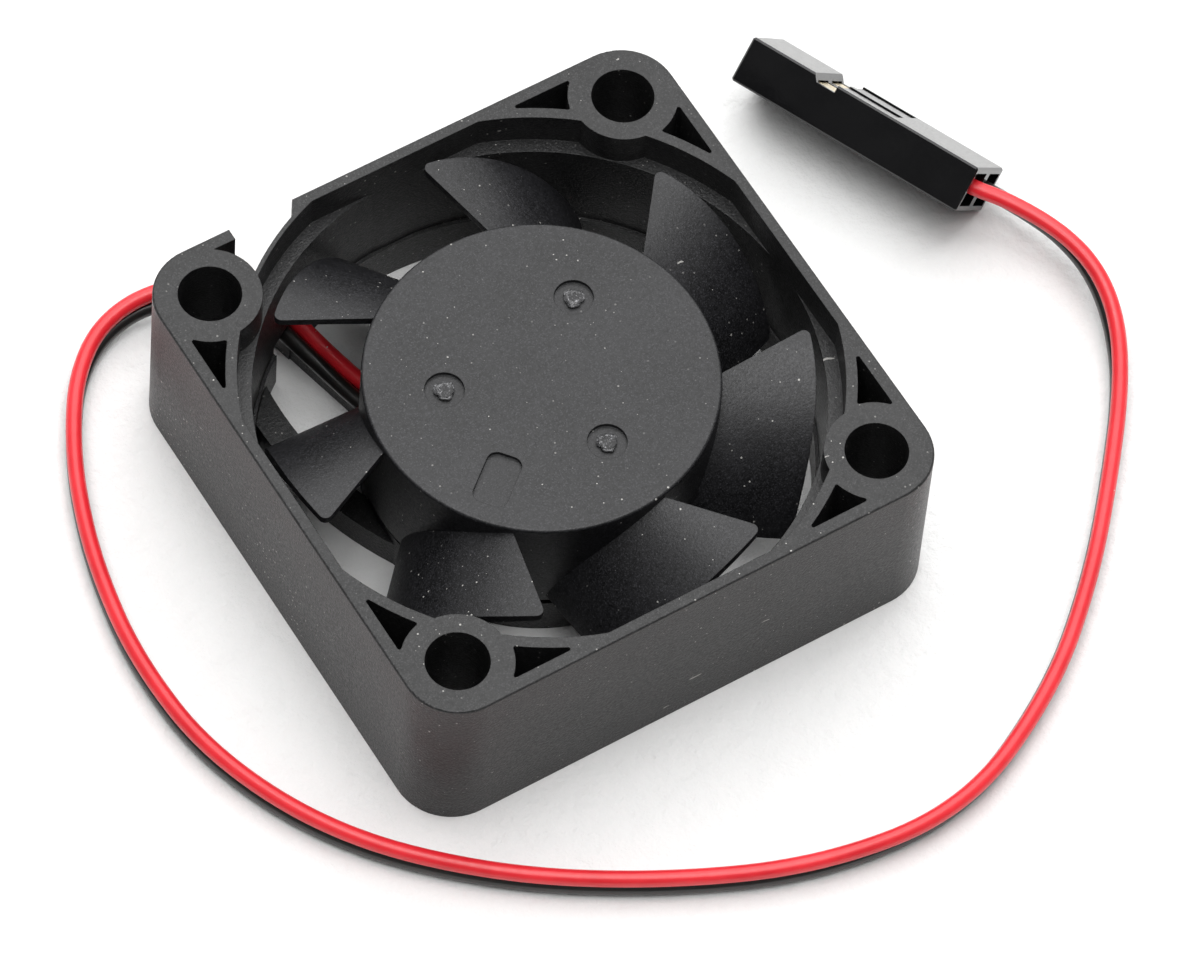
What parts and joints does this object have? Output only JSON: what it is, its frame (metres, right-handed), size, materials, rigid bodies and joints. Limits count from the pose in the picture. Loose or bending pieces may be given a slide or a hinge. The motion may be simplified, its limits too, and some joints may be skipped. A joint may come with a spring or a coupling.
{
  "type": "axial cooling fan",
  "caption": "Small square axial cooling fan with curved blades, ball-bearing motor in its hub and a two-wire lead ending in a pin-header plug.",
  "frame": {"origin": "centre of the frame's underside, the strut and label side", "axes": "+Z along the fan's axis, from the strut side to the open blade side; +X and +Y parallel to the frame's sides, with the lead notch in the +Y side"},
  "size_m": [0.0544, 0.046, 0.0103],
  "materials": {
    "frame_plastic": "satin, finely textured moulding",
    "impeller_plastic": "satin, finely textured moulding",
    "label_film": "plain printed film, satin",
    "bearing_steel": "ground",
    "ball_steel": "polished",
    "cage_brass": "pressed",
    "core_steel": "laminated, dull",
    "insulator_plastic": "matte moulding",
    "coil_copper": "enamelled copper wire",
    "board_laminate": "green solder mask",
    "pin_metal": "bright",
    "chip_epoxy": "matte epoxy with tinned feet",
    "capacitor_ceramic": "ceramic with tinned ends",
    "resistor_ceramic": "ceramic with tinned ends",
    "solder": "bright solder",
    "magnet_ferrite": "bonded ferrite, matte",
    "shaft_steel": "ground",
    "washer_plastic": "plain",
    "red_insulation": "glossy soft insulation",
    "black_insulation": "glossy soft insulation",
    "connector_plastic": "semi-gloss moulding"
  },
  "bodies": {
    "housing": {"frame": "frame_plastic", "rear_label": "label_film", "lower_outer_race": "bearing_steel", "upper_outer_race": "bearing_steel", "lower_bearing_shields": "bearing_steel", "upper_bearing_shields": "bearing_steel", "stator_core": "core_steel", "lower_insulator": "insulator_plastic", "upper_insulator": "insulator_plastic", "coil_1": "coil_copper", "coil_2": "coil_copper", "coil_3": "coil_copper", "coil_4": "coil_copper", "circuit_board": "board_laminate", "terminal_pins": "pin_metal", "red_terminal": "pin_metal", "black_terminal": "pin_metal", "driver_chip": "chip_epoxy", "diode": "chip_epoxy", "capacitor": "capacitor_ceramic", "resistor": "resistor_ceramic", "solder_joints": "solder", "red_lead": "red_insulation", "black_lead": "black_insulation", "connector_housing": "connector_plastic"},
    "rotor": {"impeller": "impeller_plastic", "rotor_yoke": "core_steel", "ring_magnet": "magnet_ferrite", "shaft": "shaft_steel", "retaining_clip": "shaft_steel", "thrust_washer": "washer_plastic", "preload_spring": "shaft_steel", "lower_inner_race": "bearing_steel", "upper_inner_race": "bearing_steel"},
    "lower_ball_set": {"lower_balls": "ball_steel", "lower_ball_cage": "cage_brass"},
    "upper_ball_set": {"upper_balls": "ball_steel", "upper_ball_cage": "cage_brass"}
  },
  "joints": [
    {"name": "impeller_spin", "type": "hinge", "parent": "housing", "child": "rotor", "pos_m": [0, 0, 0.005], "axis": [0, 0, 1], "continuous": true},
    {"name": "lower_balls_spin", "type": "hinge", "parent": "housing", "child": "lower_ball_set", "pos_m": [0, 0, 0.002], "axis": [0, 0, 1], "continuous": true},
    {"name": "upper_balls_spin", "type": "hinge", "parent": "housing", "child": "upper_ball_set", "pos_m": [0, 0, 0.0066], "axis": [0, 0, 1], "continuous": true}
  ],
  "couplings": [
    {"joint": "lower_balls_spin", "follows": "impeller_spin", "ratio": 0.3696},
    {"joint": "upper_balls_spin", "follows": "impeller_spin", "ratio": 0.3696}
  ]
}
